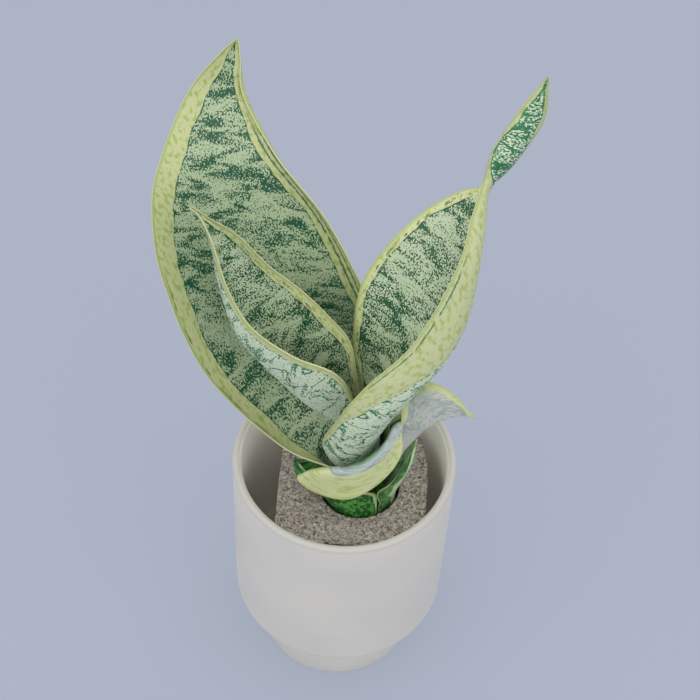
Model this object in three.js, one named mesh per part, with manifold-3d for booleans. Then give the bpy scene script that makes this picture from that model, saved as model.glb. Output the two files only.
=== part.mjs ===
// Potted snake plant: a footed ceramic pot, a mineral grow block standing in it, and one young
// Sansevieria rosette rooted in the block. Millimetres, +Z up, origin at the centre of the foot.
import * as THREE from "three";
import { mergeVertices } from "three/addons/utils/BufferGeometryUtils.js";
import Module from "manifold-3d";

const wasm = await Module();
wasm.setup();

// ---- driving dimensions ----
const RIM_RADIUS = 55;
const POT_HEIGHT = 141.5;
const POT_WALL = 4.2;
const POT_TAPER = 1.4;          // how much smaller the body is at its lower edge than at the rim
const FOOT_INSET = 15.5;        // how far the foot stands in from the rim
const FOOT_HEIGHT = 36;
const LOWER_EDGE_ROUND = 5;
const LEDGE_THICKNESS = 4.2;    // the step inside, between the body and the hollow foot
const INNER_ROUND = 6;
const POT_FLOOR = 5;
const FOOT_CHAMFER = 1;
const RIM_SEGMENTS = 56;

const BLOCK_RECESS = 15.5;      // how far the block's top lies below the rim
const BLOCK_SIDE_GAP = 12.8;    // watering gap left and right between the block and the pot's wall
const BLOCK_TAPER = 0.83;       // width of the bottom face as a share of the top face
const BLOCK_CENTRE = [5, -2];
const BLOCK_CLEARANCE = 0.5;    // where the block's corners reach the pot's wall

const STEM_CENTRE = [8, -4];    // the rosette's axis on the block
const STEM_RADIUS = 19.2;       // outermost leaf base at the block's face
const CROWN_SINK = 9;           // how far the crown's top lies below the block's face
const HOLE_CLEARANCE = 0.4;
const HOLE_DEPTH = 34;
const HOLE_OVERRUN = 1;         // the hole's cutter stands this far above the block's face
const SEAT_GAP = 0.35;          // gap between pieces that rest on each other

const DRAWN_STEM_RADIUS = 19.2; // the leaves' guides are drawn for a stem of this radius
const BLADE_KEEL = 2.3;         // leaf thickness along the keel at the base
const BLADE_MARGIN = 1.1;       // leaf thickness at the margins
const TIP_SHARE = 0.45;         // share of the thickness that is left at a leaf's tip
const SHEATH_THICKNESS = 1.2;
const WIDEST_TURN = 270;        // degrees that a leaf's cross-section may wrap round
const HEART_WIDEST_TURN = 190;
const FLATTEST_SAG = 0.02;

const POT_INNER_RADIUS = RIM_RADIUS - POT_WALL;
const LOWER_BODY_RADIUS = RIM_RADIUS - POT_TAPER;
const FOOT_RADIUS = RIM_RADIUS - FOOT_INSET;
const LEDGE = FOOT_HEIGHT + LEDGE_THICKNESS;
const BLOCK_BOTTOM = LEDGE + SEAT_GAP;
const BLOCK_TOP = POT_HEIGHT - BLOCK_RECESS;
const CROWN_TOP = BLOCK_TOP - CROWN_SINK;

function material(color, roughness) {
  return new THREE.MeshStandardMaterial({ color, roughness, metalness: 0 });
}

function bareGeometry(geometry) {
  geometry.deleteAttribute("normal");
  geometry.deleteAttribute("uv");
  return mergeVertices(geometry, 1e-4);
}

function solidOf(geometry) {
  const bare = bareGeometry(geometry);
  return new wasm.Manifold(new wasm.Mesh({
    numProp: 3,
    vertProperties: new Float32Array(bare.attributes.position.array),
    triVerts: new Uint32Array(bare.index.array),
  }));
}

function geometryOf(solid) {
  const mesh = solid.getMesh();
  const geometry = new THREE.BufferGeometry();
  geometry.setAttribute("position", new THREE.BufferAttribute(new Float32Array(mesh.vertProperties), 3));
  geometry.setIndex(new THREE.BufferAttribute(new Uint32Array(mesh.triVerts), 1));
  return geometry;
}

function lathe(points, segments) {
  const geometry = new THREE.LatheGeometry(points.map(([r, z]) => new THREE.Vector2(r, z)), segments);
  geometry.rotateX(Math.PI / 2);
  return bareGeometry(geometry);
}

function arcPoints(r, z, radiusR, radiusZ, from, to, steps) {
  return Array.from({ length: steps + 1 }, (_, i) => {
    const a = THREE.MathUtils.degToRad(from + (to - from) * i / steps);
    return [r + radiusR * Math.cos(a), z + radiusZ * Math.sin(a)];
  });
}

// ---- pot: one turned ceramic shell on a narrower, hollow foot ----
function potProfile() {
  const lip = POT_WALL / 2;
  const edge = LOWER_EDGE_ROUND;
  const innerBody = LOWER_BODY_RADIUS - POT_WALL;
  const innerFoot = FOOT_RADIUS - POT_WALL;
  return [
    [0, 0],
    [FOOT_RADIUS - FOOT_CHAMFER, 0],
    [FOOT_RADIUS, FOOT_CHAMFER],
    [FOOT_RADIUS, FOOT_HEIGHT],
    ...arcPoints(LOWER_BODY_RADIUS - edge, FOOT_HEIGHT + edge, edge, edge, -90, 0, 4),
    ...arcPoints(RIM_RADIUS - lip, POT_HEIGHT - lip, lip, lip, 0, 180, 8),
    ...arcPoints(innerBody - INNER_ROUND, LEDGE + INNER_ROUND, INNER_ROUND, INNER_ROUND, 0, -90, 4),
    [innerFoot, LEDGE],
    ...arcPoints(innerFoot - INNER_ROUND, POT_FLOOR + INNER_ROUND, INNER_ROUND, INNER_ROUND, 0, -90, 4),
    [0, POT_FLOOR],
  ];
}

// ---- grow block: a tapered, slightly irregular square of fused mineral grit ----
// Corners as shares of half the block's width, each with the length that its rounding takes.
const BLOCK_CORNERS = [
  [-1, -1.02, 0.3],
  [0.95, -1.02, 0.5],
  [1, 0.26, 0.32],
  [0.87, 0.87, 0.26],
  [-0.97, 0.89, 0.26],
];

function blockOutline() {
  const half = POT_INNER_RADIUS - BLOCK_SIDE_GAP;
  const corners = BLOCK_CORNERS.map((corner) => corner.map((share) => share * half));
  const shape = new THREE.Shape();
  corners.forEach(([x, y, round], i) => {
    const here = new THREE.Vector2(x, y);
    const before = new THREE.Vector2(...corners.at(i - 1));
    const after = new THREE.Vector2(...corners[(i + 1) % corners.length]);
    const inbound = here.clone().add(before.sub(here).setLength(round));
    const outbound = here.clone().add(after.sub(here).setLength(round));
    if (i === 0) shape.moveTo(inbound.x, inbound.y);
    else shape.lineTo(inbound.x, inbound.y);
    shape.quadraticCurveTo(here.x, here.y, outbound.x, outbound.y);
  });
  shape.closePath();
  return shape;
}

function growBlock() {
  const height = BLOCK_TOP - BLOCK_BOTTOM;
  const geometry = new THREE.ExtrudeGeometry(blockOutline(), {
    depth: height, bevelEnabled: false, curveSegments: 4,
  });
  const position = geometry.attributes.position;
  for (let i = 0; i < position.count; i++) {
    const rise = position.getZ(i) / height;
    const share = BLOCK_TAPER + (1 - BLOCK_TAPER) * rise;
    position.setXYZ(i, position.getX(i) * share + BLOCK_CENTRE[0] * rise,
      position.getY(i) * share + BLOCK_CENTRE[1] * rise, position.getZ(i) + BLOCK_BOTTOM);
  }
  // The corners are pared back where they would touch the pot's wall.
  const limit = new THREE.CylinderGeometry(POT_INNER_RADIUS - BLOCK_CLEARANCE,
    LOWER_BODY_RADIUS - POT_WALL - BLOCK_CLEARANCE, POT_HEIGHT - LEDGE, RIM_SEGMENTS);
  limit.rotateX(Math.PI / 2);
  limit.translate(0, 0, (POT_HEIGHT + LEDGE) / 2);
  const hole = new THREE.CylinderGeometry(STEM_RADIUS + HOLE_CLEARANCE, STEM_RADIUS + HOLE_CLEARANCE,
    HOLE_DEPTH + HOLE_OVERRUN, 32);
  hole.rotateX(Math.PI / 2);
  hole.translate(...STEM_CENTRE, BLOCK_TOP + (HOLE_OVERRUN - HOLE_DEPTH) / 2);
  return geometryOf(solidOf(geometry).intersect(solidOf(limit)).subtract(solidOf(hole)));
}

// ---- crown: the short fleshy rhizome that the leaves grow from, sunk in the block ----
const CROWN_WAIST = 0.6;        // radius of the crown's underside as a share of the stem's
const CROWN_SWELL = 0.92;
const CROWN_SWELL_RISE = 7;
const CROWN_COLLAR = 6;         // height of the straight part at the top

function crown() {
  const bottom = BLOCK_TOP - HOLE_DEPTH + SEAT_GAP;
  return lathe([
    [0, bottom],
    [STEM_RADIUS * CROWN_WAIST, bottom],
    [STEM_RADIUS * CROWN_SWELL, bottom + CROWN_SWELL_RISE],
    [STEM_RADIUS, CROWN_TOP - CROWN_COLLAR],
    [STEM_RADIUS, CROWN_TOP],
    [0, CROWN_TOP],
  ], 32).translate(...STEM_CENTRE, 0);
}

// ---- leaves: each blade is lofted through guide points at a few stations up the leaf ----
// The guides are drawn from the middle of the crown's top face, and the rosette grows with its stem.
// Guides that run clockwise, seen from above, trace a leaf's inner face; the rest trace its outer face.
function round(radius, degrees, z) {
  const a = THREE.MathUtils.degToRad(degrees);
  return [radius * Math.cos(a), radius * Math.sin(a), z];
}

function smoothThrough(points) {
  return new THREE.CatmullRomCurve3(points, false, "catmullrom", 0.5);
}

// One cross-section from margin to margin: an arc through three guides, or a spline through more.
function sectionPoint(guides, u, widestTurn) {
  if (guides.length > 3) return smoothThrough(guides).getPoint((u + 1) / 2);
  const [left, keel, right] = guides;
  const middle = left.clone().add(right).multiplyScalar(0.5);
  const across = right.clone().sub(left);
  const chord = across.length();
  across.divideScalar(chord);
  const toKeel = keel.clone().sub(middle);
  const lean = toKeel.dot(across);
  const down = toKeel.addScaledVector(across, -lean);
  const sag = Math.max(down.length(), FLATTEST_SAG);
  down.normalize();
  const halfTurn = Math.min(2 * Math.atan2(2 * sag, chord), THREE.MathUtils.degToRad(widestTurn) / 2);
  const sideways = chord / 2 * Math.sin(halfTurn * u) / Math.sin(halfTurn);
  const depth = sag * (Math.cos(halfTurn * u) - Math.cos(halfTurn)) / (1 - Math.cos(halfTurn));
  return middle.addScaledVector(across, sideways + lean * (1 - u * u)).addScaledVector(down, depth);
}

function blade(stations, keelThickness, marginThickness, across, along, widestTurn = WIDEST_TURN) {
  const guides = stations[0].map((_, k) =>
    smoothThrough(stations.map((station) => new THREE.Vector3(...station[k]))));
  const inner = [];
  for (let j = 0; j <= along; j++) {
    const row = guides.map((guide) => guide.getPoint(j / along));
    inner.push(Array.from({ length: across + 1 },
      (_, i) => sectionPoint(row, 2 * i / across - 1, widestTurn)));
  }
  const outer = inner.map((row, j) => row.map((point, i) => {
    const sideways = row[Math.min(i + 1, across)].clone().sub(row[Math.max(i - 1, 0)]);
    const upwards = inner[Math.min(j + 1, along)][i].clone().sub(inner[Math.max(j - 1, 0)][i]);
    const u = 2 * i / across - 1;
    const share = 1 - (1 - TIP_SHARE) * (j / along) ** 2;
    const thickness = share * (marginThickness + (keelThickness - marginThickness) * (1 - u * u));
    return point.clone().addScaledVector(upwards.cross(sideways).normalize(), thickness);
  }));
  const vertices = [...inner.flat(), ...outer.flat()].flatMap((p) => [p.x, p.y, p.z]);
  const row = across + 1;
  const shift = row * (along + 1);
  const faces = [];
  const quad = (a, b, c, d) => faces.push(a, b, c, a, c, d);
  for (let j = 0; j < along; j++) {
    for (let i = 0; i < across; i++) {
      const a = j * row + i;
      quad(a, a + 1, a + 1 + row, a + row);
      quad(shift + a, shift + a + row, shift + a + 1 + row, shift + a + 1);
    }
    const left = j * row;
    const right = left + across;
    quad(left, left + row, shift + left + row, shift + left);
    quad(right, shift + right, shift + right + row, right + row);
  }
  for (let i = 0; i < across; i++) {
    const tip = along * row + i;
    quad(i, shift + i, shift + i + 1, i + 1);
    quad(tip, tip + 1, shift + tip + 1, shift + tip);
  }
  const geometry = new THREE.BufferGeometry();
  geometry.setAttribute("position", new THREE.Float32BufferAttribute(vertices, 3));
  geometry.setIndex(faces);
  return geometry;
}

const leaf = (stations, widestTurn) => blade(stations, BLADE_KEEL, BLADE_MARGIN, 10, 26, widestTurn);
const collared = (stations) => blade(stations, SHEATH_THICKNESS, SHEATH_THICKNESS, 16, 26);
const sheath = (stations) => blade(stations, SHEATH_THICKNESS, SHEATH_THICKNESS, 10, 10);

// Tall outer leaf, leaning back and left. Guides: left margin, keel, right margin.
const BACK_LEFT_LEAF = [
  [round(10.8, -115, SEAT_GAP), round(10.8, 120, SEAT_GAP), round(10.8, -18, SEAT_GAP)],
  [round(11, -112, 19), round(11, 125, 19), round(11, -15, 19)],
  [[-12, -10.5, 34.5], [-11.5, 14, 33], [12, 2, 50]],
  [[-39, -1, 38.5], [-25, 20, 44], [13, 12, 64]],
  [[-75, 6, 82], [-34, 36, 70], [6, 28, 84]],
  [[-95, 20, 133], [-45, 46, 106], [-5, 40, 112]],
  [[-100, 36, 163], [-52, 58, 137], [-23, 54, 141]],
  [[-97, 52, 178], [-59, 68, 166], [-47, 68, 166]],
  [[-87, 76, 195], [-66, 84, 186], [-63, 84, 187]],
  [[-74, 89, 207], [-68, 93, 200], [-65, 93, 201]],
  [[-67.2, 98, 208.2], [-67, 98.6, 207.6], [-66, 98, 208]],
];

// Young heart leaf, leaning left inside the others. Guides: near margin, keel, far margin.
const HEART_LEAF = [
  [round(3.2, -130, SEAT_GAP), round(3.2, 150, SEAT_GAP), round(3.2, 30, SEAT_GAP)],
  [round(4, -120, 21), round(4, 160, 21), round(4, 50, 21)],
  [[-2, -2.5, 53], [-10, 5, 41], [0, 4, 53]],
  [[-6, -2, 82], [-18, 7, 55], [-4, 8, 77]],
  [[-15, -3, 100], [-29, 9, 67], [-8, 14, 100]],
  [[-34, -1, 108], [-41, 13, 84], [-18, 19, 112]],
  [[-53, 3, 122], [-54, 17, 105], [-32, 23, 126]],
  [[-64, 9, 141], [-62, 21, 127], [-47, 26, 138]],
  [[-71, 16, 163], [-69, 25, 151], [-61, 28, 155]],
  [[-77, 22, 173], [-76, 27, 166], [-73, 28, 165]],
  [[-82, 27, 173.2], [-81.6, 27.4, 172.6], [-81, 27, 173]],
];

// Tall right leaf that turns over near its tip. Guides: near margin, keel, far margin.
const TWISTED_RIGHT_LEAF = [
  [round(8.6, -160, SEAT_GAP), round(8.6, -40, SEAT_GAP), round(8.6, 95, SEAT_GAP)],
  [round(9.4, -162, 21), round(9.4, -40, 21), round(9.4, 90, 21)],
  [[-19, -5, 46], [6, -7.5, 48], [-2, 16, 67]],
  [[-12, -13, 78], [14, -2, 72], [-7, 24, 87]],
  [[0, -11, 101], [26, 4, 97], [-6, 32, 114]],
  [[17, -4, 119], [37, 11, 114], [0, 39, 129]],
  [[29, 6, 138], [44, 19, 133], [12, 46, 145]],
  [[38, 18, 158], [47, 29, 154], [25, 52, 156]],
  [[42, 32, 171], [49, 39, 167], [38, 54, 165]],
  [[46, 46, 178], [50, 46, 176], [51, 54, 170]],
  [[50, 58, 189], [56, 52, 191], [62, 58, 183]],
  [[60, 67, 204], [65, 64, 203], [72, 67, 200]],
  [[70.6, 74, 218], [71.2, 73.6, 218.4], [72, 74, 217.6]],
];

// Short outer leaf, low on the right: its near margin is turned out like a collar round the front of
// the stem. Guides: near margin, collar fold, keel, back, far margin.
const LOW_RIGHT_LEAF = [
  [-172, -114, -52, 12, 80].map((angle) => round(16.6, angle, SEAT_GAP)),
  [-172, -114, -52, 12, 80].map((angle) => round(16.6, angle, 18)),
  [[-30, -14, 30.6], [-19, -15, 38], [15, -8, 30], [15, 8, 30], [5, 17, 32]],
  [[-21, -19, 26.5], [-8, -18.5, 46], [17, -8, 34], [18, 7, 36], [10, 17, 39]],
  [[-5, -23, 28], [3, -17, 53], [17.8, -4, 33], [19.5, 5, 39], [17, 17, 45]],
  [[10, -19, 38.5], [11, -13, 61], [19, -3, 39.5], [23.5, 4, 45], [23, 15, 51]],
  [[19, -11.5, 51.3], [15, -5, 64], [24, -1, 47.5], [26, 4, 51], [27, 9, 56]],
  [[18, -4.5, 64], [21, -1, 64], [29, -1, 57], [32, 4, 59], [32, 10, 60]],
  [[19, 6, 75], [24, 2, 72], [35, -1, 64], [38, 5, 63], [38, 10, 64]],
  [[28, 9, 82], [32, 2, 78], [41, 0, 67], [44, 4, 65], [44, 9, 66]],
  [[41, 7, 77], [43, 3, 75], [47, 2, 66], [48, 4, 65], [48, 6, 66]],
  [[52, 3, 64.4], [52.3, 2.8, 64], [52.8, 2.8, 63.4], [53, 3.4, 63.4], [52.8, 4, 64]],
];

// Short basal sheaths that clasp the foot of the stem. Guides: one margin, middle, other margin.
const FRONT_SHEATH = [
  [round(17.5, -60, SEAT_GAP), round(17.5, -130, SEAT_GAP), round(17.5, 150, SEAT_GAP)],
  [round(17.5, -60, 9), round(17.5, -130, 9), round(17.6, 152, 9)],
  [round(17.7, -60, 17), round(20.6, -140, 15), round(22, 158, 16)],
  [round(18.2, -63, 24), round(24, -152, 17.6), round(25.8, 166, 18.4)],
  [round(18.8, -84, 28), round(27, -162, 19), round(28.6, 171, 20)],
  [round(21.5, -128, 23), round(29.4, -171, 20.6), round(31, 174, 22)],
  [round(31, -178, 24.6), round(32, 178, 25.6), round(32.4, 175, 25)],
];

const RIGHT_SHEATH = [
  [round(18.5, -57, SEAT_GAP), round(18.5, -16, SEAT_GAP), round(18.5, 26, SEAT_GAP)],
  [round(18.5, -57, 9), round(18.5, -16, 9), round(18.7, 26, 9)],
  [round(19.4, -58, 16), round(20, -17, 16), round(20.8, 26, 15)],
  [round(21, -64, 23), round(21.8, -16, 22), round(23.2, 27, 21)],
  [round(21.8, -65, 30), round(23.6, -14, 28), round(25.6, 27, 27)],
  [round(22.8, -48, 35), round(25, -8, 33.5), round(27, 24, 31.5)],
  [round(26.4, 8, 38), round(27.2, 12, 38.2), round(28, 17, 37)],
];

const MATERIALS = {
  ceramic: material(0xe9e7e1, 0.45),
  block: material(0x8a8278, 0.95),
  flesh: material(0xb9b487, 0.7),
  blade: material(0x6f9a6c, 0.5),
  sheath: material(0x3f7d34, 0.5),
};

const plant = new THREE.Group();
const rosette = new THREE.Group();
rosette.position.set(...STEM_CENTRE, CROWN_TOP);
rosette.scale.setScalar(STEM_RADIUS / DRAWN_STEM_RADIUS);
plant.add(rosette);

function add(group, name, geometry, finish) {
  const mesh = new THREE.Mesh(geometry, finish);
  mesh.name = name;
  group.add(mesh);
}

add(plant, "pot", lathe(potProfile(), RIM_SEGMENTS), MATERIALS.ceramic);
add(plant, "grow_block", growBlock(), MATERIALS.block);
add(plant, "crown", crown(), MATERIALS.flesh);
add(rosette, "back_left_leaf", leaf(BACK_LEFT_LEAF), MATERIALS.blade);
add(rosette, "heart_leaf", leaf(HEART_LEAF, HEART_WIDEST_TURN), MATERIALS.blade);
add(rosette, "twisted_right_leaf", leaf(TWISTED_RIGHT_LEAF), MATERIALS.blade);
add(rosette, "low_right_leaf", collared(LOW_RIGHT_LEAF), MATERIALS.blade);
add(rosette, "front_sheath", sheath(FRONT_SHEATH), MATERIALS.sheath);
add(rosette, "right_sheath", sheath(RIGHT_SHEATH), MATERIALS.sheath);

export default plant;
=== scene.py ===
import math
import bpy
from mathutils import Matrix, Vector


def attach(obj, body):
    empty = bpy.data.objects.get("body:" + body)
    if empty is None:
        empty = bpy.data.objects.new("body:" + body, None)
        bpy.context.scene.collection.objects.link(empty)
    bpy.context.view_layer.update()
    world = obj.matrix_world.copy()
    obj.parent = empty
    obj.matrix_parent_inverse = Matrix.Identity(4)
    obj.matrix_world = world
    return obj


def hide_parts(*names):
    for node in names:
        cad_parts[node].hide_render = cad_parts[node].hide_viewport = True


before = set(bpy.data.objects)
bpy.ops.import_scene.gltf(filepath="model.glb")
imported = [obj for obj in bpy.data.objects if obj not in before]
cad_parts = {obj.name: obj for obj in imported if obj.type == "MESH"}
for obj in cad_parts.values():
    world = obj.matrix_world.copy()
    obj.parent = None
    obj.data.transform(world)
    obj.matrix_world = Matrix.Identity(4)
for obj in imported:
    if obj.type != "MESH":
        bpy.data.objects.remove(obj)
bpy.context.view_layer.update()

# ---- camera ----
# A long portrait lens from 0.9 m, looking down at 51 degrees, held a few degrees off level.
ELEVATION = math.radians(51.08)
ROLL = math.radians(3.2)
AIM = Vector((-0.00024, 0, 0.2253))
DISTANCE = 0.9
LENS_MM = 101.2
forward = Vector((0, math.cos(ELEVATION), -math.sin(ELEVATION)))
level_up = Vector((0, math.sin(ELEVATION), math.cos(ELEVATION)))
camera_right = Vector((1, 0, 0)) * math.cos(ROLL) + level_up * math.sin(ROLL)
camera_up = Vector((-1, 0, 0)) * math.sin(ROLL) + level_up * math.cos(ROLL)
camera_data = bpy.data.cameras.new("camera")
camera_data.sensor_width = 36
camera_data.lens = LENS_MM
camera_data.clip_start = 0.01
camera = bpy.data.objects.new("camera", camera_data)
camera.matrix_world = Matrix.Translation(AIM - forward * DISTANCE) @ Matrix(
    (camera_right, camera_up, -forward)).transposed().to_4x4()
bpy.context.scene.collection.objects.link(camera)
bpy.context.scene.camera = camera
bpy.context.scene.view_settings.view_transform = "Standard"

# ---- pot ----
# A straight-sided planter on a narrower foot, slip-cast stoneware with a satin off-white glaze.
# It is hollow down into the foot. Sizes are in millimetres.
RIM_RADIUS = 55
POT_HEIGHT = 141.5
POT_WALL = 4.2
POT_TAPER = 1.4
FOOT_RADIUS = 39.5
FOOT_HEIGHT = 36
LEDGE_HEIGHT = 40.2
POT_FLOOR = 5
LOWER_EDGE = 5
INNER_ROUND = 6
LIP = POT_WALL / 2
BODY_RADIUS = RIM_RADIUS - POT_TAPER
INNER_BODY = BODY_RADIUS - POT_WALL
INNER_RIM = RIM_RADIUS - POT_WALL
INNER_FOOT = FOOT_RADIUS - POT_WALL
POT_SEGMENTS = 160
# A colour Mix node's two colour inputs and its colour output.
COLOUR_A, COLOUR_B, MIXED = 6, 7, 2


def arc(centre_radius, centre_height, size, start, end, steps):
    """Ring sizes round a rounded edge of the turned profile, from one angle to another in degrees."""
    angles = [math.radians(start + (end - start) * i / steps) for i in range(steps + 1)]
    return [(centre_radius + size * math.cos(a), centre_height + size * math.sin(a)) for a in angles]


def turned(name, rings, segments, centre=(0, 0)):
    """A closed turned shape: a disc extruded and resized ring by ring along (radius, height) in mm."""
    bpy.ops.object.select_all(action="DESELECT")
    radius, height = rings[0]
    bpy.ops.mesh.primitive_circle_add(vertices=segments, radius=radius / 1000, fill_type="NGON",
                                      location=(centre[0] / 1000, centre[1] / 1000, height / 1000))
    piece = bpy.context.object
    piece.name = name
    bpy.ops.object.transform_apply(location=True, rotation=True, scale=True)
    bpy.ops.object.mode_set(mode="EDIT")
    bpy.ops.mesh.select_mode(type="FACE")
    bpy.ops.mesh.select_all(action="SELECT")
    for next_radius, next_height in rings[1:]:
        bpy.ops.mesh.extrude_region_move(
            TRANSFORM_OT_translate={"value": (0, 0, (next_height - height) / 1000)})
        share = next_radius / radius
        middle = (centre[0] / 1000, centre[1] / 1000, next_height / 1000)
        bpy.ops.transform.resize(value=(share, share, 1), center_override=middle)
        radius, height = next_radius, next_height
    bpy.ops.mesh.select_all(action="SELECT")
    bpy.ops.mesh.normals_make_consistent(inside=False)
    bpy.ops.object.mode_set(mode="OBJECT")
    return piece


def linear(hex_colour):
    """An sRGB hex colour as linear RGBA."""
    parts = [int(hex_colour[i:i + 2], 16) / 255 for i in (1, 3, 5)]
    return [p / 12.92 if p <= 0.04045 else ((p + 0.055) / 1.055) ** 2.4 for p in parts] + [1]


def node(tree, kind, inputs=None, **settings):
    """Adds a node with its settings; each input is another node's output or a plain value."""
    new = tree.nodes.new("ShaderNode" + kind)
    for name, value in settings.items():
        setattr(new, name, value)
    for socket, value in (inputs or {}).items():
        if isinstance(value, bpy.types.NodeSocket):
            tree.links.new(value, new.inputs[socket])
        else:
            new.inputs[socket].default_value = value
    return new


def new_material(name):
    """An empty material and its node tree, with a Principled shader wired to the output."""
    made = bpy.data.materials.new(name)
    made.use_nodes = True
    made.node_tree.nodes.clear()
    tree = made.node_tree
    shader = node(tree, "BsdfPrincipled")
    node(tree, "OutputMaterial", {"Surface": shader.outputs[0]})
    return made, tree, shader


def put_in_place(piece, cad_node):
    """Attaches a finished piece to the root body that also carries the pot, and hides the CAD node that it
    stands for.
    """
    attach(piece, "root")
    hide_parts(cad_node)


pot = turned("stoneware_pot", [
    (FOOT_RADIUS - 3.2, 0.9),
    (FOOT_RADIUS - 2.6, 0.3),
    (FOOT_RADIUS - 1.9, 0),
    (FOOT_RADIUS - 0.9, 0),
    (FOOT_RADIUS - 0.25, 0.3),
    (FOOT_RADIUS, 1),
    (FOOT_RADIUS, 12),
    (FOOT_RADIUS, 24),
    (FOOT_RADIUS, FOOT_HEIGHT - 0.8),
    (FOOT_RADIUS + 0.25, FOOT_HEIGHT - 0.25),
    (FOOT_RADIUS + 0.8, FOOT_HEIGHT),
    *arc(BODY_RADIUS - LOWER_EDGE, FOOT_HEIGHT + LOWER_EDGE, LOWER_EDGE, -90, 0, 10),
    (BODY_RADIUS + 0.35, 66),
    (BODY_RADIUS + 0.7, 90),
    (BODY_RADIUS + 1.05, 115),
    *arc(RIM_RADIUS - LIP, POT_HEIGHT - LIP, LIP, 0, 180, 14),
    (INNER_RIM - 0.4, 110),
    (INNER_BODY + 0.5, 75),
    *arc(INNER_BODY - INNER_ROUND, LEDGE_HEIGHT + INNER_ROUND, INNER_ROUND, 0, -90, 8),
    (INNER_FOOT + 1, LEDGE_HEIGHT),
    (INNER_FOOT + 0.3, LEDGE_HEIGHT - 0.3),
    (INNER_FOOT, LEDGE_HEIGHT - 1),
    *arc(INNER_FOOT - INNER_ROUND, POT_FLOOR + INNER_ROUND, INNER_ROUND, 0, -90, 8),
], POT_SEGMENTS)
bpy.ops.object.shade_smooth_by_angle(angle=math.radians(40))

# Glazed stoneware: off-white, satin rather than glossy, and faintly translucent. Mottling and fine
# pinholes show where the glaze pooled. The rim is painted a shade greyer as painted shade, offsetting
# the extra light that falls on its upward face.
glaze, tree, shader = new_material("glazed_stoneware")
place = node(tree, "TexCoord").outputs["Object"]
height_mm = node(tree, "Math", {0: node(tree, "SeparateXYZ", {0: place}).outputs["Z"], 1: 1000.0},
                 operation="MULTIPLY").outputs[0]
cloud = node(tree, "TexNoise", {"Vector": place, "Scale": 22.0, "Detail": 3.0, "Roughness": 0.5})
# Painted shade: the top of the rim is darkened so it looks no brighter than the walls.
painted_rim_shade_mask = node(tree, "MapRange", {"Value": height_mm, "From Min": POT_HEIGHT - 3.0,
                                 "From Max": POT_HEIGHT - 1.2})
pooled = node(tree, "MapRange", {"Value": cloud.outputs["Fac"], "From Min": 0.35, "From Max": 0.65})
mottle = node(tree, "Mix", {0: pooled.outputs[0], COLOUR_A: linear("#d0cdc7"),
                            COLOUR_B: linear("#d5d2ca")}, data_type="RGBA")
outside_and_painted_rim_shade = node(tree, "Mix", {0: painted_rim_shade_mask.outputs[0], COLOUR_A: mottle.outputs[MIXED],
                             COLOUR_B: linear("#bcbbb4")}, data_type="RGBA")
# Inside, where no light strikes it straight, the glaze is painted whiter: painted light that brightens the
# shaded inner wall.
level_mm = node(tree, "VectorMath", {0: place, 1: (1000, 1000, 0)}, operation="MULTIPLY")
axis_mm = node(tree, "VectorMath", {0: level_mm.outputs[0]}, operation="LENGTH")
within = node(tree, "MapRange", {"Value": axis_mm.outputs["Value"], "From Min": INNER_RIM + 0.2,
                                 "From Max": INNER_RIM + 0.8, "To Min": 1.0, "To Max": 0.0})
above = node(tree, "MapRange", {"Value": height_mm, "From Min": LEDGE_HEIGHT, "From Max": LEDGE_HEIGHT + 4})
painted_inner_light_mask = node(tree, "Math", {0: within.outputs[0], 1: above.outputs[0]}, operation="MULTIPLY")
glaze_with_painted_light_and_shade = node(tree, "Mix", {0: painted_inner_light_mask.outputs[0], COLOUR_A: outside_and_painted_rim_shade.outputs[MIXED],
                            COLOUR_B: linear("#fbf7ee")}, data_type="RGBA")
pinholes = node(tree, "TexVoronoi", {"Vector": place, "Scale": 260.0}, feature="F1")
pits = node(tree, "MapRange", {"Value": pinholes.outputs["Distance"], "From Min": 0.06, "From Max": 0.16})
orange_peel = node(tree, "TexNoise", {"Vector": place, "Scale": 380.0, "Detail": 2.0})
relief = node(tree, "Math", {0: pits.outputs[0], 1: 0.35, 2: orange_peel.outputs["Fac"]},
              operation="MULTIPLY_ADD")
bump = node(tree, "Bump", {"Strength": 0.12, "Distance": 0.0002, "Height": relief.outputs[0]})
rough = node(tree, "MapRange", {"Value": cloud.outputs["Fac"], "To Min": 0.42, "To Max": 0.55})
tree.links.new(glaze_with_painted_light_and_shade.outputs[MIXED], shader.inputs["Base Color"])
tree.links.new(rough.outputs[0], shader.inputs["Roughness"])
tree.links.new(bump.outputs[0], shader.inputs["Normal"])
shader.inputs["IOR"].default_value = 1.5
shader.inputs["Subsurface Weight"].default_value = 0.35
shader.inputs["Subsurface Radius"].default_value = (1.0, 0.9, 0.8)
shader.inputs["Subsurface Scale"].default_value = 0.006
pot.data.materials.append(glaze)
put_in_place(pot, "pot")

# ---- grow block ----
# A tapered square plug of fused mineral grit, cast in one piece and cut by hand, so its faces are
# rough, open-grained and not quite flat. The stem stands in a round hole in the top.
GRIT = 1.15
CUT_EDGE = 1.2
MESH_STEP = 0.95
RELIEF = 0.9
SURFACE_LEVEL = 0.85
block = bpy.data.objects.new("grit_block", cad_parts["grow_block"].data.copy())
bpy.context.scene.collection.objects.link(block)
bpy.ops.object.select_all(action="DESELECT")
block.select_set(True)
bpy.context.view_layer.objects.active = block
bpy.ops.object.mode_set(mode="EDIT")
bpy.ops.mesh.select_all(action="SELECT")
bpy.ops.mesh.remove_doubles(threshold=1e-6)
bpy.ops.object.mode_set(mode="OBJECT")
bpy.ops.object.modifier_add(type="BEVEL")
block.modifiers[-1].width = CUT_EDGE / 1000
block.modifiers[-1].segments = 2
block.modifiers[-1].limit_method = "ANGLE"
block.modifiers[-1].angle_limit = math.radians(60)
bpy.ops.object.modifier_apply(modifier=block.modifiers[-1].name)
bpy.ops.object.modifier_add(type="REMESH")
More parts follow.
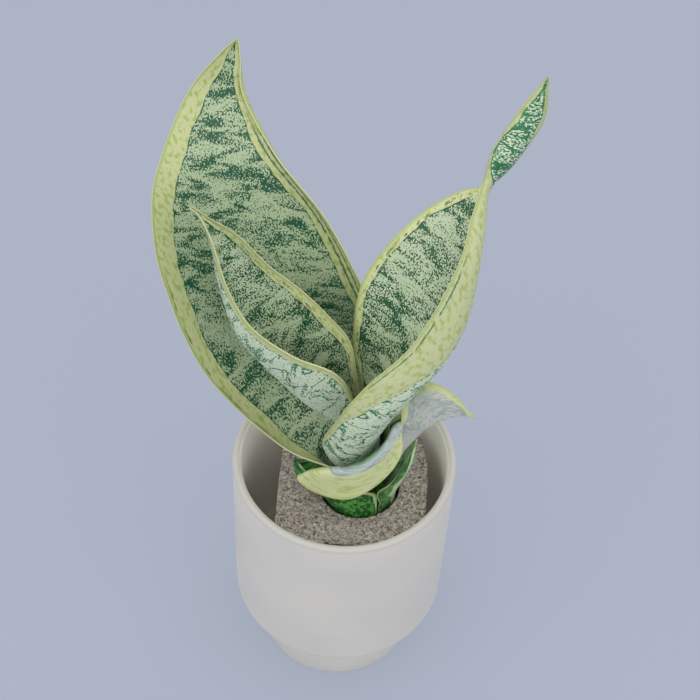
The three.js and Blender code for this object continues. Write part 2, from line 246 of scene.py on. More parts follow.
block.modifiers[-1].mode = "VOXEL"
block.modifiers[-1].voxel_size = MESH_STEP / 1000
bpy.ops.object.modifier_apply(modifier=block.modifiers[-1].name)
for texture_name, grain in (("swells", 16), ("grit", GRIT)):
    relief_texture = bpy.data.textures.new(texture_name, "CLOUDS")
    relief_texture.noise_scale = grain / 1000
    relief_texture.noise_depth = 1
    bpy.ops.object.modifier_add(type="DISPLACE")
    block.modifiers[-1].texture = relief_texture
    block.modifiers[-1].texture_coords = "LOCAL"
    block.modifiers[-1].strength = RELIEF / 1000
    block.modifiers[-1].mid_level = SURFACE_LEVEL
    bpy.ops.object.modifier_apply(modifier=block.modifiers[-1].name)
bpy.ops.object.shade_smooth()

# Fused mineral grit: matt grey-brown with dark and light grains about a millimetre across and dark
# pores between them; it scatters light and has no shine.
grit, tree, shader = new_material("fused_mineral_grit")
place = node(tree, "TexCoord").outputs["Object"]
grains = node(tree, "TexVoronoi", {"Vector": place, "Scale": 1000 / GRIT}, feature="F1")
tone = node(tree, "SeparateColor", {0: grains.outputs["Color"]}).outputs[0]
stone = node(tree, "ValToRGB", {0: tone})
stone.color_ramp.elements[0].color = linear("#6a625a")
stone.color_ramp.elements[1].color = linear("#c4bdb2")
for position, colour in ((0.2, "#8b837a"), (0.5, "#a19a90"), (0.8, "#b0a99f")):
    stone.color_ramp.elements.new(position).color = linear(colour)
dust = node(tree, "TexNoise", {"Vector": place, "Scale": 60.0, "Detail": 3.0})
dusty = node(tree, "MapRange", {"Value": dust.outputs["Fac"], "From Min": 0.4, "From Max": 0.75,
                                "To Max": 0.4})
dusted = node(tree, "Mix", {0: dusty.outputs[0], COLOUR_A: stone.outputs[0],
                            COLOUR_B: linear("#a29a8f")}, data_type="RGBA")
pore_noise = node(tree, "TexNoise", {"Vector": place, "Scale": 900.0, "Detail": 1.0})
pores = node(tree, "MapRange", {"Value": pore_noise.outputs["Fac"], "From Min": 0.36, "From Max": 0.46,
                                "To Min": 0.45})
pored = node(tree, "Mix", {0: 1.0, COLOUR_A: dusted.outputs[MIXED], COLOUR_B: pores.outputs[0]},
             data_type="RGBA", blend_type="MULTIPLY")
bump = node(tree, "Bump", {"Strength": 0.7, "Distance": 0.0006, "Height": pore_noise.outputs["Fac"]})
tree.links.new(pored.outputs[MIXED], shader.inputs["Base Color"])
tree.links.new(bump.outputs[0], shader.inputs["Normal"])
shader.inputs["Roughness"].default_value = 0.95
shader.inputs["Specular IOR Level"].default_value = 0.2
block.data.materials.clear()
block.data.materials.append(grit)
put_in_place(block, "grow_block")

# ---- crown ----
# The short fleshy rhizome that carries the rosette, sunk in the block's hole, ringed by the scars of
# leaves that have dropped.
STEM_CENTRE = (8, -4)
STEM_RADIUS = 19
CROWN_TOP = 117
CROWN_BOTTOM = 92.35
CROWN_SEGMENTS = 64
SCAR_STEP = 4.6
scars = []
for scar in range(4):
    scar_height = CROWN_BOTTOM + 6 + scar * SCAR_STEP
    swell = STEM_RADIUS - 2.4 + scar * 0.8
    scars += [(swell, scar_height), (swell - 0.5, scar_height + 0.7), (swell - 0.1, scar_height + 1.5)]
crown = turned("rhizome", [
    (9, CROWN_BOTTOM),
    (12.5, CROWN_BOTTOM + 0.4),
    (15.5, CROWN_BOTTOM + 2),
    *scars,
    (STEM_RADIUS - 0.6, CROWN_TOP - 1.2),
    (STEM_RADIUS - 1.6, CROWN_TOP - 0.3),
    (STEM_RADIUS - 2.8, CROWN_TOP),
    (12, CROWN_TOP),
], CROWN_SEGMENTS, STEM_CENTRE)
bpy.ops.object.shade_smooth_by_angle(angle=math.radians(50))

# Waxy plant flesh: pale olive with darker rings and fine pores, a soft sheen.
flesh, tree, shader = new_material("waxy_rhizome_flesh")
place = node(tree, "TexCoord").outputs["Object"]
ringed = node(tree, "VectorMath", {0: place, 1: (1.0, 1.0, 5.0)}, operation="MULTIPLY")
fibre = node(tree, "TexNoise", {"Vector": ringed.outputs[0], "Scale": 180.0, "Detail": 3.0})
tint = node(tree, "Mix", {0: fibre.outputs["Fac"], COLOUR_A: linear("#b3ab74"),
                          COLOUR_B: linear("#8d8a4f")}, data_type="RGBA")
bump = node(tree, "Bump", {"Strength": 0.3, "Distance": 0.0004, "Height": fibre.outputs["Fac"]})
tree.links.new(tint.outputs[MIXED], shader.inputs["Base Color"])
tree.links.new(bump.outputs[0], shader.inputs["Normal"])
shader.inputs["Roughness"].default_value = 0.6
crown.data.materials.append(flesh)
put_in_place(crown, "crown")

# ---- back left leaf ----
# The largest leaf: a stiff, thick, trough-shaped blade that wraps the stem at its base, leans back and
# left, and rolls up to a short hard tip. Each station up the leaf gives its left margin, keel and right
# margin in mm; the thickness lies behind these faces and thins towards the margins and the tip.
SEAT_GAP = 0.35
LEAF_BASE = CROWN_TOP + SEAT_GAP
BLADE_KEEL = 2.3
BLADE_MARGIN = 1.1
SHEATH_MM = 1.2
TIP_SHARE = 0.45
EDGE_SHARE = 0.3
LEAST_SAG = 0.02
WIDEST_TURN = 270
HEART_WIDEST_TURN = 190
SHEATH_GRID = (40, 60)


def round_stem(radius, degrees, height):
    """A point round the stem's own axis."""
    angle = math.radians(degrees)
    return (STEM_CENTRE[0] + radius * math.cos(angle), STEM_CENTRE[1] + radius * math.sin(angle), height)


def smooth_through(points, share):
    """The point at a share of the way along a smooth curve through the given points."""
    last = len(points) - 1
    at = min(int(share * last), last - 1)
    rest = share * last - at
    here, there = points[at], points[at + 1]
    before = points[at - 1] if at else here * 2 - there
    after = points[at + 2] if at + 2 <= last else there * 2 - here
    leave, arrive = (there - before) / 2, (after - here) / 2
    return (((here - there) * 2 + leave + arrive) * rest ** 3
            + ((there - here) * 3 - leave * 2 - arrive) * rest ** 2 + leave * rest + here)


def across_blade(guides, u, widest_turn):
    """The point at u from -1 to 1 across a blade: an arc through three guides, or a curve through more."""
    if len(guides) > 3:
        return smooth_through(guides, (u + 1) / 2)
    left, keel, right = guides
    middle = (left + right) / 2
    chord = (right - left).length
    sideways = (right - left) / chord
    lean = (keel - middle).dot(sideways)
    down = keel - middle - sideways * lean
    sag = max(down.length, LEAST_SAG)
    down = down.normalized()
    turn = min(2 * math.atan2(2 * sag, chord), math.radians(widest_turn) / 2)
    over = chord / 2 * math.sin(turn * u) / math.sin(turn) + lean * (1 - u * u)
    under = sag * (math.cos(turn * u) - math.cos(turn)) / (1 - math.cos(turn))
    return middle + sideways * over + down * under


def blade(name, faces, stations, keel_mm, margin_mm, bands, widest_turn=WIDEST_TURN, grid=(56, 150)):
    """A leaf blade: a grid laid on the surface through its stations, then given its thickness.
    faces are the finishes of its near and far sides. bands holds the width in mm of the pale band along
    each margin, as (share up the leaf, first, last)."""
    across, along = grid
    bpy.ops.object.select_all(action="DESELECT")
    bpy.ops.mesh.primitive_grid_add(x_subdivisions=across, y_subdivisions=along, size=2)
    leaf = bpy.context.object
    leaf.name = name
    mesh = leaf.data
    for face in faces:
        mesh.materials.append(face)
    guides = [[Vector(station[k]) for station in stations] for k in range(len(stations[0]))]
    places = {}
    for vertex in mesh.vertices:
        i = round((vertex.co.x + 1) / 2 * across)
        j = round((vertex.co.y + 1) / 2 * along)
        places[i, j] = vertex.index
    measures = {key: [0.0] * len(mesh.vertices)
                for key in ("from_first", "from_last", "first_band", "last_band", "up_leaf")}
    thickness = leaf.vertex_groups.new(name="thickness")
    spread = [math.sin(math.pi / 2 * (2 * i / across - 1)) for i in range(across + 1)]
    flat = {}
    risen = 0.0
    before = None
    for j in range(along + 1):
        share = j / along
        row_guides = [smooth_through(guide, share) for guide in guides]
        row = [across_blade(row_guides, u, widest_turn) for u in spread]
        run = [0.0]
        for i in range(across):
            run.append(run[-1] + (row[i + 1] - row[i]).length)
        middle = row[across // 2]
        risen += (middle - before).length if before else 0.0
        before = middle
        lower = max((b for b in bands if b[0] <= share), key=lambda b: b[0])
        upper = min((b for b in bands if b[0] >= share), key=lambda b: b[0])
        mix = (share - lower[0]) / max(upper[0] - lower[0], 1e-6)
        for i, u in enumerate(spread):
            index = places[i, j]
            mesh.vertices[index].co = row[i] / 1000
            measures["from_first"][index] = run[i]
            measures["from_last"][index] = run[-1] - run[i]
            measures["first_band"][index] = lower[1] + (upper[1] - lower[1]) * mix
            measures["last_band"][index] = lower[2] + (upper[2] - lower[2]) * mix
            measures["up_leaf"][index] = share
            flat[index] = (run[i] - run[-1] / 2, risen)
            full = (1 - (1 - TIP_SHARE) * share ** 2) * (margin_mm + (keel_mm - margin_mm) * (1 - u * u))
            inside = min(run[i], run[-1] - run[i], 1.0)
            full *= EDGE_SHARE + (1 - EDGE_SHARE) * math.sqrt(1 - (1 - inside) ** 2)
            thickness.add([index], full / keel_mm, "REPLACE")
    mesh.uv_layers[0].name = "leaf_mm"
    mesh.uv_layers["leaf_mm"].data.foreach_set(
        "uv", [length for loop in mesh.loops for length in flat[loop.vertex_index]])
    for key, lengths in measures.items():
        mesh.attributes.new(key, "FLOAT", "POINT")
        mesh.attributes[key].data.foreach_set("value", lengths)
    bpy.ops.object.modifier_add(type="SOLIDIFY")
    solid = leaf.modifiers[-1]
    solid.thickness = keel_mm / 1000
    solid.offset = -1
    solid.vertex_group = "thickness"
    solid.material_offset = 1
    bpy.ops.object.modifier_apply(modifier=solid.name)
    bpy.ops.object.shade_smooth()
    return leaf


def streaks(tree, flat, across_mm, along_mm, detail=2.0, distortion=0.0):
    """Noise laid out on the leaf's own millimetres, with features of about these sizes."""
    stretched = node(tree, "VectorMath", {0: flat, 1: (1 / across_mm, 1 / along_mm, 0.0)},
                     operation="MULTIPLY")
    noise = node(tree, "TexNoise", {"Vector": stretched.outputs[0], "Scale": 1.0, "Detail": detail,
                                    "Distortion": distortion}, noise_dimensions="2D")
    return noise.outputs["Fac"]


def leaf_face(name, ground, speck, band_pale, band_olive, cell=(0.8, 1.05), wave=(15.0, 6.5), crowding=0.9,
              limit=0.97, softness=0.03, lines=0.0, stripes=(), veins=0.0, bloom=0.15,
              dark_tip=0.0, throat=None, edge_line="#c9c99e"):
    """One face of a variegated leaf: specks on a pale ground, and a pale band along each margin.
    cell and wave are the sizes in mm, across and along the leaf, of a speck and of the crowds of specks.
    lines draws the crowds out into thin broken lines. throat is a dark green part low on the leaf, partly
    painted shade, as two greens, where it begins in mm past the first band, and how high it reaches up the
    leaf. stripes are dark lines in a band, each as (side, share of the band from its margin, half width as
    a share, lowest and highest share up the leaf, how broken it is from 0 to 1)."""
    made, tree, shader = new_material(name)
    flat = node(tree, "UVMap", uv_map="leaf_mm").outputs[0]
    first = node(tree, "Attribute", attribute_name="from_first").outputs["Fac"]
    last = node(tree, "Attribute", attribute_name="from_last").outputs["Fac"]
    first_band = node(tree, "Attribute", attribute_name="first_band").outputs["Fac"]
    last_band = node(tree, "Attribute", attribute_name="last_band").outputs["Fac"]
    up = node(tree, "Attribute", attribute_name="up_leaf").outputs["Fac"]
    # The inner edge of each band wanders by a millimetre or so up the leaf.
    wander = streaks(tree, flat, 30.0, 14.0, 4.0)
    shift = node(tree, "Math", {0: wander, 1: 3.6, 2: -1.8}, operation="MULTIPLY_ADD")
    into_first = node(tree, "Math", {0: first, 1: first_band}, operation="SUBTRACT")
    into_last = node(tree, "Math", {0: last, 1: last_band}, operation="SUBTRACT")
    nearer = node(tree, "Math", {0: into_first.outputs[0], 1: into_last.outputs[0]}, operation="MINIMUM")
    inside = node(tree, "Math", {0: nearer.outputs[0], 1: shift.outputs[0]}, operation="ADD")
    edge = node(tree, "Math", {0: first, 1: last}, operation="MINIMUM")
    # Specks of chlorophyll under the skin, crowded into wavy zones across the leaf.
    zones = streaks(tree, flat, wave[0], wave[1], 2.5, 0.7)
    if lines:
        off_line = node(tree, "Math", {0: zones, 1: 0.5}, operation="SUBTRACT")
        far = node(tree, "Math", {0: off_line.outputs[0]}, operation="ABSOLUTE")
        zones = node(tree, "MapRange", {"Value": far.outputs[0], "From Min": 0.0, "From Max": lines,
                                        "To Min": 0.72, "To Max": 0.38}).outputs[0]
    cells = streaks(tree, flat, cell[0], cell[1], 1.0)
    crowd = node(tree, "Math", {0: zones, 1: crowding, 2: cells}, operation="MULTIPLY_ADD")
    rim_line = node(tree, "MapRange", {"Value": inside.outputs[0], "From Min": 0.35, "From Max": 1.0,
                                       "To Min": 0.16, "To Max": 0.0})
    lined = node(tree, "Math", {0: crowd.outputs[0], 1: rim_line.outputs[0]}, operation="ADD")
    if dark_tip:
        near_tip = node(tree, "MapRange", {"Value": up, "From Min": 0.68, "From Max": 0.8,
                                           "To Max": dark_tip})
        lined = node(tree, "Math", {0: lined.outputs[0], 1: near_tip.outputs[0]}, operation="ADD")
    specks = node(tree, "MapRange", {"Value": lined.outputs[0], "From Min": limit - softness,
                                     "From Max": limit + softness})
    tone = node(tree, "Mix", {0: streaks(tree, flat, 9.0, 12.0), COLOUR_A: linear(speck[0]),
                              COLOUR_B: linear(speck[1])}, data_type="RGBA")
    pale = node(tree, "Mix", {0: streaks(tree, flat, 2.5, 16.0), COLOUR_A: linear(ground[0]),
                              COLOUR_B: linear(ground[1])}, data_type="RGBA")
    centre = node(tree, "Mix", {0: specks.outputs[0], COLOUR_A: pale.outputs[MIXED],
                                COLOUR_B: tone.outputs[MIXED]}, data_type="RGBA").outputs[MIXED]
    if veins:
        vein = node(tree, "MapRange", {"Value": streaks(tree, flat, 0.9, 40.0, 1.0), "From Min": 0.45,
                                       "From Max": 0.6, "To Max": veins})
        centre = node(tree, "Mix", {0: vein.outputs[0], COLOUR_A: centre, COLOUR_B: linear(speck[1])},
                      data_type="RGBA").outputs[MIXED]
    if throat:
        # Deep in the rolled base the skin is painted a dark green: partly its own green, partly painted shade
        # in the hollow.
        throat_dark, throat_pale, start, reach = throat
        near_back = node(tree, "MapRange", {"Value": into_first.outputs[0], "From Min": start,
                                            "From Max": start + 3.0})
        low = node(tree, "MapRange", {"Value": up, "From Min": reach, "From Max": reach + 0.08,
                                      "To Min": 1.0, "To Max": 0.0})
        throat_own_green_and_painted_shade = node(tree, "Math", {0: near_back.outputs[0], 1: low.outputs[0]}, operation="MULTIPLY")
        blotch = node(tree, "MapRange", {"Value": streaks(tree, flat, 2.0, 4.0, 3.0), "From Min": 0.44,
                                         "From Max": 0.58})
        green = node(tree, "Mix", {0: blotch.outputs[0], COLOUR_A: linear(throat_dark),
                                   COLOUR_B: linear(throat_pale)}, data_type="RGBA")
        centre = node(tree, "Mix", {0: throat_own_green_and_painted_shade.outputs[0], COLOUR_A: centre, COLOUR_B: green.outputs[MIXED]},
                      data_type="RGBA").outputs[MIXED]
    # Olive flecks cloud the pale bands, thickest in a narrow strip along the very edge.
    fleck = node(tree, "MapRange", {"Value": streaks(tree, flat, 2.2, 3.2, 3.0), "From Min": 0.5,
                                    "From Max": 0.66, "To Max": 0.8})
    outer = node(tree, "MapRange", {"Value": edge.outputs[0], "From Min": 0.5, "From Max": 1.9,
                                    "To Min": 0.8, "To Max": 0.0})
    olive = node(tree, "Math", {0: fleck.outputs[0], 1: outer.outputs[0]}, operation="MAXIMUM")
    band = node(tree, "Mix", {0: olive.outputs[0], COLOUR_A: linear(band_pale),
                              COLOUR_B: linear(band_olive)}, data_type="RGBA").outputs[MIXED]
    for side, at, half, lowest, highest, gap in stripes:
        width, whole = (first, first_band) if side == "first" else (last, last_band)
        place = node(tree, "Math", {0: width, 1: whole}, operation="DIVIDE")
        offset = node(tree, "Math", {0: place.outputs[0], 1: at}, operation="SUBTRACT")
        away = node(tree, "Math", {0: offset.outputs[0]}, operation="ABSOLUTE")
        ragged = node(tree, "Math", {0: streaks(tree, flat, 1.0, 2.4), 1: half * 2.2, 2: -half * 1.1},
                      operation="MULTIPLY_ADD")
        apart = node(tree, "Math", {0: away.outputs[0], 1: ragged.outputs[0]}, operation="ADD")
        drawn = node(tree, "MapRange", {"Value": apart.outputs[0], "From Min": half * 0.6,
                                        "From Max": half, "To Min": 0.85, "To Max": 0.0})
        begun = node(tree, "MapRange", {"Value": up, "From Min": lowest, "From Max": lowest + 0.03})
        ended = node(tree, "MapRange", {"Value": up, "From Min": highest - 0.05, "From Max": highest,
                                        "To Min": 1.0, "To Max": 0.0})
        shown = node(tree, "Math", {0: begun.outputs[0], 1: ended.outputs[0]}, operation="MULTIPLY")
        dashes = node(tree, "MapRange", {"Value": streaks(tree, flat, 3.0, 7.0), "From Min": gap,
                                         "From Max": gap + 0.08})
        kept = node(tree, "Math", {0: shown.outputs[0], 1: dashes.outputs[0]}, operation="MULTIPLY")
        strength = node(tree, "Math", {0: drawn.outputs[0], 1: kept.outputs[0]}, operation="MULTIPLY")
        band = node(tree, "Mix", {0: strength.outputs[0], COLOUR_A: band, COLOUR_B: tone.outputs[MIXED]},
                    data_type="RGBA").outputs[MIXED]
    over = node(tree, "MapRange", {"Value": inside.outputs[0], "From Min": -0.2, "From Max": 0.2})
    patterned = node(tree, "Mix", {0: over.outputs[0], COLOUR_A: band, COLOUR_B: centre},
                     data_type="RGBA")
    # The extreme edge is a hard cream-coloured hairline.
    hairline = node(tree, "MapRange", {"Value": edge.outputs[0], "From Min": 0.1, "From Max": 0.3})
    edged = node(tree, "Mix", {0: hairline.outputs[0], COLOUR_A: linear(edge_line),
                               COLOUR_B: patterned.outputs[MIXED]}, data_type="RGBA")
    fibres = streaks(tree, flat, 0.7, 18.0)
    swells = streaks(tree, flat, 7.0, 7.0)
    height = node(tree, "Math", {0: swells, 1: 2.5, 2: fibres}, operation="MULTIPLY_ADD")
    bump = node(tree, "Bump", {"Strength": 0.3, "Distance": 0.0004, "Height": height.outputs[0]})
    rough = node(tree, "MapRange", {"Value": fibres, "To Min": 0.36, "To Max": 0.5})
    tree.links.new(edged.outputs[MIXED], shader.inputs["Base Color"])
    tree.links.new(rough.outputs[0], shader.inputs["Roughness"])
    tree.links.new(bump.outputs[0], shader.inputs["Normal"])
    shader.inputs["Sheen Weight"].default_value = bloom
    shader.inputs["Sheen Roughness"].default_value = 0.35
    shader.inputs["Sheen Tint"].default_value = linear("#dfe2ee")
    return made


# A waxy cuticle over living leaf. The upper face is crisply patterned; the under face is paler, with
# its dark marks drawn out into thin broken lines; a grey bloom of wax shows where it turns away.
striped_upper_face = leaf_face(
    "waxy_leaf_upper_face_striped", ("#b3c49f", "#a0b58d"), ("#0a482c", "#175c3c"), "#bdc58f", "#94a74e",
    stripes=(("last", 0.3, 0.055, 0.25, 0.8, 0.2), ("last", 0.6, 0.075, 0.2, 0.78, 0.25),
             ("first", 0.2, 0.04, 0.28, 0.52, 0.42)))
upper_face = leaf_face(
    "waxy_leaf_upper_face", ("#c3d2b2", "#aec39c"), ("#074425", "#125a32"), "#cbd29e", "#9fb052",
    stripes=(("last", 0.75, 0.09, 0.2, 0.8, 0.52), ("last", 0.55, 0.07, 0.2, 0.7, 0.56)))
under_face = leaf_face(
    "waxy_leaf_under_face", ("#cddac4", "#b8caa9"), ("#0f6234", "#1f7444"), "#b7bf91", "#97a757",
    cell=(1.6, 0.7), wave=(20.0, 8.0), lines=0.07, limit=1.02,
    stripes=(("first", 0.13, 0.02, 0.3, 0.62, 0.35),), bloom=0.3, dark_tip=0.18)
back_left = blade("back_left_blade", (striped_upper_face, under_face), [
    (round_stem(10.8, -115, LEAF_BASE), round_stem(10.8, 120, LEAF_BASE), round_stem(10.8, -18, LEAF_BASE)),
    (round_stem(11, -112, 136), round_stem(11, 125, 136), round_stem(11, -15, 136)),
    ((-4, -14.5, 151.5), (-3.5, 10, 150), (20, -2, 167)),
    ((-31, -5, 155.5), (-17, 16, 161), (21, 8, 181)),
    ((-67, 2, 199), (-26, 32, 187), (14, 24, 201)),
    ((-87, 16, 250), (-37, 42, 223), (3, 36, 229)),
    ((-92, 32, 280), (-44, 54, 254), (-15, 50, 258)),
    ((-89, 48, 295), (-51, 64, 283), (-39, 64, 283)),
    ((-79, 72, 312), (-58, 80, 303), (-55, 80, 304)),
    ((-66, 85, 324), (-60, 89, 317), (-57, 89, 318)),
    ((-59.2, 94, 325.2), (-59, 94.6, 324.6), (-58, 94, 325)),
], BLADE_KEEL, BLADE_MARGIN, [(0, 6, 2), (0.3, 9, 4.5), (0.5, 12, 11), (0.7, 12, 9), (0.85, 8, 5), (1, 1, 1)])
put_in_place(back_left, "back_left_leaf")

# ---- heart leaf ----
# The youngest full leaf, rolled into a spout inside the others and leaning left. Each station gives its
# near margin, keel and far margin.
heart = blade("heart_blade", (upper_face, under_face), [
    (round_stem(3.2, -130, LEAF_BASE), round_stem(3.2, 150, LEAF_BASE), round_stem(3.2, 30, LEAF_BASE)),
    (round_stem(4, -120, 138), round_stem(4, 160, 138), round_stem(4, 50, 138)),
    ((6, -6.5, 170), (-2, 1, 158), (8, 0, 170)),
    ((2, -6, 199), (-10, 3, 172), (4, 4, 194)),
    ((-7, -7, 217), (-21, 5, 184), (0, 10, 217)),
    ((-26, -5, 225), (-33, 9, 201), (-10, 15, 229)),
    ((-45, -1, 239), (-46, 13, 222), (-24, 19, 243)),
    ((-56, 5, 258), (-54, 17, 244), (-39, 22, 255)),
    ((-63, 12, 280), (-61, 21, 268), (-53, 24, 272)),
    ((-69, 18, 290), (-68, 23, 283), (-65, 24, 282)),
    ((-74, 23, 290.2), (-73.6, 23.4, 289.6), (-73, 23, 290)),
], BLADE_KEEL, BLADE_MARGIN, [(0, 2, 3), (0.3, 3, 5), (0.5, 3, 6.5), (0.8, 2.5, 5), (1, 1, 1)],
    HEART_WIDEST_TURN)
put_in_place(heart, "heart_leaf")

# ---- twisted right leaf ----
# A tall leaf that leans back and right as an open trough, then turns over near its tip so its back
# faces forward. Each station gives its near margin, keel and far margin on the outer face.
twisted = blade("twisted_right_blade", (under_face, upper_face), [
    (round_stem(8.6, -160, LEAF_BASE), round_stem(8.6, -40, LEAF_BASE), round_stem(8.6, 95, LEAF_BASE)),
    (round_stem(9.4, -162, 138), round_stem(9.4, -40, 138), round_stem(9.4, 90, 138)),
    ((-11, -9, 163), (14, -11.5, 165), (6, 12, 184)),
    ((-4, -17, 195), (22, -6, 189), (1, 20, 204)),
    ((8, -15, 218), (34, 0, 214), (2, 28, 231)),
    ((25, -8, 236), (45, 7, 231), (8, 35, 246)),
    ((37, 2, 255), (52, 15, 250), (20, 42, 262)),
    ((46, 14, 275), (55, 25, 271), (33, 48, 273)),
    ((50, 28, 288), (57, 35, 284), (46, 50, 282)),
    ((54, 42, 295), (58, 42, 293), (59, 50, 287)),
    ((58, 54, 306), (64, 48, 308), (70, 54, 300)),
    ((68, 63, 321), (73, 60, 320), (80, 63, 317)),
    ((78.6, 70, 335), (79.2, 69.6, 335.4), (80, 70, 334.6)),
], BLADE_KEEL, BLADE_MARGIN, [(0, 1.5, 3), (0.17, 1.5, 3), (0.25, 3, 3.5), (0.3, 8, 3.5), (0.35, 14, 3.5),
                              (0.42, 20, 3.5), (0.55, 22, 4), (0.68, 11, 5.5), (0.8, 4, 4),
                              (0.9, 3, 3), (1, 1, 1)])
put_in_place(twisted, "twisted_right_leaf")

# ---- low right leaf ----
# The oldest, shortest leaf, low on the right. Its near margin is folded out like a collar round the
# front of the stem. Each station gives near margin, collar fold, keel, back and far margin.
COLLAR_BASE = 16.6
COLLAR_ANGLES = (-172, -114, -52, 12, 80)

# The same waxy skin under a heavier bloom. Its blue-grey is partly real wax bloom and partly a painted
# reflection of the pale surround. Its veins show as fine lines, and low down in the throat it is a dark
# green that is partly painted shade.
bloom_and_painted_reflection_face = leaf_face(
    "waxy_leaf_bloom_and_painted_reflection_face", ("#b9bfb5", "#c3c7be"), ("#a0aaa4", "#949f9c"), "#c1c996", "#a5b266",
    cell=(1.2, 3.0), wave=(12.0, 20.0), limit=1.02, softness=0.12, veins=0.25, bloom=0.6,
    throat=("#124d18", "#2f7a2c", -40.0, 0.3))
# The collar's blue-grey ground is likewise partly wax bloom and partly painted reflection.
collar_face = leaf_face(
    "waxy_leaf_collar_face", ("#b3bfba", "#bcc6c0"), ("#98a8a4", "#8b9c9a"), "#c1c996", "#a5b266",
    cell=(1.2, 3.0), wave=(12.0, 20.0), limit=1.02, softness=0.12, veins=0.25, bloom=0.2,
    throat=("#155a1c", "#47853a", 4.5, 0.62))
low_right = blade("low_right_blade", (bloom_and_painted_reflection_face, collar_face), [
    [round_stem(COLLAR_BASE, angle, LEAF_BASE) for angle in COLLAR_ANGLES],
    [round_stem(COLLAR_BASE, angle, 135) for angle in COLLAR_ANGLES],
    [(-22, -18, 147.6), (-11, -19, 155), (23, -12, 147), (23, 4, 147), (13, 13, 149)],
    [(-13, -23, 143.5), (0, -22.5, 163), (25, -12, 151), (26, 3, 153), (18, 13, 156)],
    [(3, -27, 145), (11, -21, 170), (25.8, -8, 150), (27.5, 1, 156), (25, 13, 162)],
    [(18, -23, 155.5), (19, -17, 178), (27, -7, 156.5), (31.5, 0, 162), (31, 11, 168)],
    [(27, -15.5, 168.3), (23, -9, 181), (32, -5, 164.5), (34, 0, 168), (35, 5, 173)],
    [(26, -8.5, 181), (29, -5, 181), (37, -5, 174), (40, 0, 176), (40, 6, 177)],
    [(27, 2, 192), (32, -2, 189), (43, -5, 181), (46, 1, 180), (46, 6, 181)],
    [(36, 5, 199), (40, -2, 195), (49, -4, 184), (52, 0, 182), (52, 5, 183)],
    [(49, 3, 194), (51, -1, 192), (55, -2, 183), (56, 0, 182), (56, 2, 183)],
    [(60, -1, 181.4), (60.3, -1.2, 181), (60.8, -1.2, 180.4), (61, -0.6, 180.4), (60.8, 0, 181)],
], SHEATH_MM, SHEATH_MM, [(0, 2, 3), (0.12, 8, 3), (0.18, 17, 3), (0.24, 19, 3), (0.3, 18.5, 3),
                          (0.38, 19, 3), (0.46, 17, 3), (0.52, 12, 3), (0.57, 7, 3), (0.62, 4, 3),
                          (0.7, 4, 3), (0.85, 5, 4), (0.93, 8, 5), (1, 8, 8)])
put_in_place(low_right, "low_right_leaf")

# ---- basal sheaths ----
# Two short scale leaves clasp the foot of the stem. They are greener and thinner than the blades, with
# a pale margin. The front one curls away to the left. Stations give margin, middle, margin.
scale_leaf = leaf_face(
    "waxy_scale_leaf", ("#3c8a33", "#5da24a"), ("#0c4716", "#155a1e"), "#b9d6a4", "#93c07a",
    cell=(1.4, 2.4), wave=(9.0, 7.0), crowding=1.3, limit=1.1, softness=0.08, bloom=0.1,
    edge_line="#8a9456")
front_sheath = blade("front_scale_leaf", (scale_leaf, scale_leaf), [
    (round_stem(17.5, -60, LEAF_BASE), round_stem(17.5, -130, LEAF_BASE), round_stem(17.5, 150, LEAF_BASE)),
    (round_stem(17.5, -60, 126), round_stem(17.5, -130, 126), round_stem(17.6, 152, 126)),
    (round_stem(17.7, -60, 134), round_stem(20.6, -140, 132), round_stem(22, 158, 133)),
    (round_stem(18.2, -63, 141), round_stem(24, -152, 134.6), round_stem(25.8, 166, 135.4)),
    (round_stem(18.8, -84, 145), round_stem(27, -162, 136), round_stem(28.6, 171, 137)),
    (round_stem(21.5, -128, 140), round_stem(29.4, -171, 137.6), round_stem(31, 174, 139)),
    (round_stem(31, -178, 141.6), round_stem(32, 178, 142.6), round_stem(32.4, 175, 142)),
], SHEATH_MM, SHEATH_MM, [(0, 1, 1), (0.4, 1.5, 1.5), (0.8, 3, 2), (1, 1, 1)], grid=SHEATH_GRID)
right_sheath = blade("right_scale_leaf", (scale_leaf, scale_leaf), [
    (round_stem(18.5, -57, LEAF_BASE), round_stem(18.5, -16, LEAF_BASE), round_stem(18.5, 26, LEAF_BASE)),
    (round_stem(18.5, -57, 126), round_stem(18.5, -16, 126), round_stem(18.7, 26, 126)),
    (round_stem(19.4, -58, 133), round_stem(20, -17, 133), round_stem(20.8, 26, 132)),
    (round_stem(21, -64, 140), round_stem(21.8, -16, 139), round_stem(23.2, 27, 138)),
    (round_stem(21.8, -65, 147), round_stem(23.6, -14, 145), round_stem(25.6, 27, 144)),
    (round_stem(22.8, -48, 152), round_stem(25, -8, 150.5), round_stem(27, 24, 148.5)),
    (round_stem(26.4, 8, 155), round_stem(27.2, 12, 155.2), round_stem(28, 17, 154)),
], SHEATH_MM, SHEATH_MM, [(0, 0.4, 17), (0.3, 0.4, 21), (0.45, 0.4, 28), (0.65, 0.5, 29),
                          (0.85, 0.6, 20), (1, 1, 5)], grid=SHEATH_GRID)
put_in_place(front_sheath, "front_sheath")
put_in_place(right_sheath, "right_sheath")

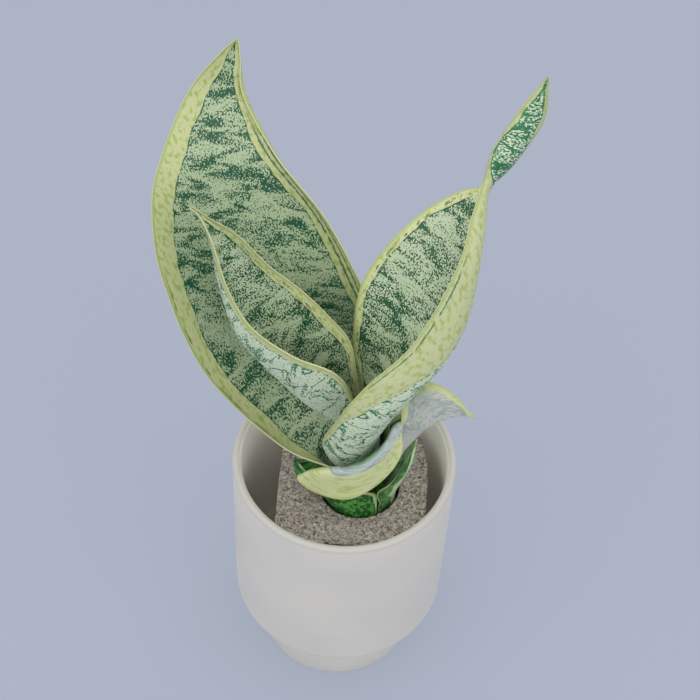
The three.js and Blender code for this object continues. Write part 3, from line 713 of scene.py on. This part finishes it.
# ---- floor and light ----
# A seamless pale blue-grey sheet under and behind. An even pale surround and five broad soft lights, the
# two front corners strongest, leave almost no shadow.
bpy.ops.object.select_all(action="DESELECT")
bpy.ops.mesh.primitive_plane_add(size=6, location=(0, 0, -0.0003))
floor = bpy.context.object
floor.name = "floor"
paper, tree, shader = new_material("matt_backdrop_paper")
paper_grain = node(tree, "TexNoise", {"Vector": node(tree, "TexCoord").outputs["Object"],
                                      "Scale": 4.0, "Detail": 2.0})
paper_tone = node(tree, "Mix", {0: paper_grain.outputs["Fac"], COLOUR_A: linear("#6c717f"),
                                COLOUR_B: linear("#6e7381")}, data_type="RGBA")
tree.links.new(paper_tone.outputs[MIXED], shader.inputs["Base Color"])
shader.inputs["Emission Color"].default_value = linear("#a9b1bf")
shader.inputs["Emission Strength"].default_value = 0.63
shader.inputs["Roughness"].default_value = 1.0
shader.inputs["Specular IOR Level"].default_value = 0.0
floor.data.materials.append(paper)

world = bpy.data.worlds.new("studio")
bpy.context.scene.world = world
world.use_nodes = True
surround = world.node_tree.nodes["Background"]
surround.inputs["Color"].default_value = linear("#f8f8fb")
surround.inputs["Strength"].default_value = 0.92
LOOK_AT = Vector((0, 0, 0.18))


def soft_light(name, location, size, power, tint):
    """A large square light that looks at the plant."""
    lamp = bpy.data.lights.new(name, "AREA")
    lamp.shape = "SQUARE"
    lamp.size = size
    lamp.energy = power
    lamp.color = linear(tint)[:3]
    holder = bpy.data.objects.new(name, lamp)
    holder.location = location
    holder.rotation_mode = "QUATERNION"
    holder.rotation_quaternion = (LOOK_AT - Vector(location)).to_track_quat("-Z", "Y")
    bpy.context.scene.collection.objects.link(holder)


soft_light("front", (0.1, -1.5, 1.5), 1.2, 2.2, "#fffaf5")
soft_light("left", (-1.15, -1.15, 1.4), 1.3, 6.6, "#fffaf4")
soft_light("right", (1.2, -1.1, 1.4), 1.3, 5.2, "#fff9f4")
soft_light("overhead", (-0.1, -0.2, 1.9), 1.4, 3.6, "#fff9f2")
soft_light("back_right", (1.2, 1.5, 1.3), 1.2, 2.2, "#eef2ff")
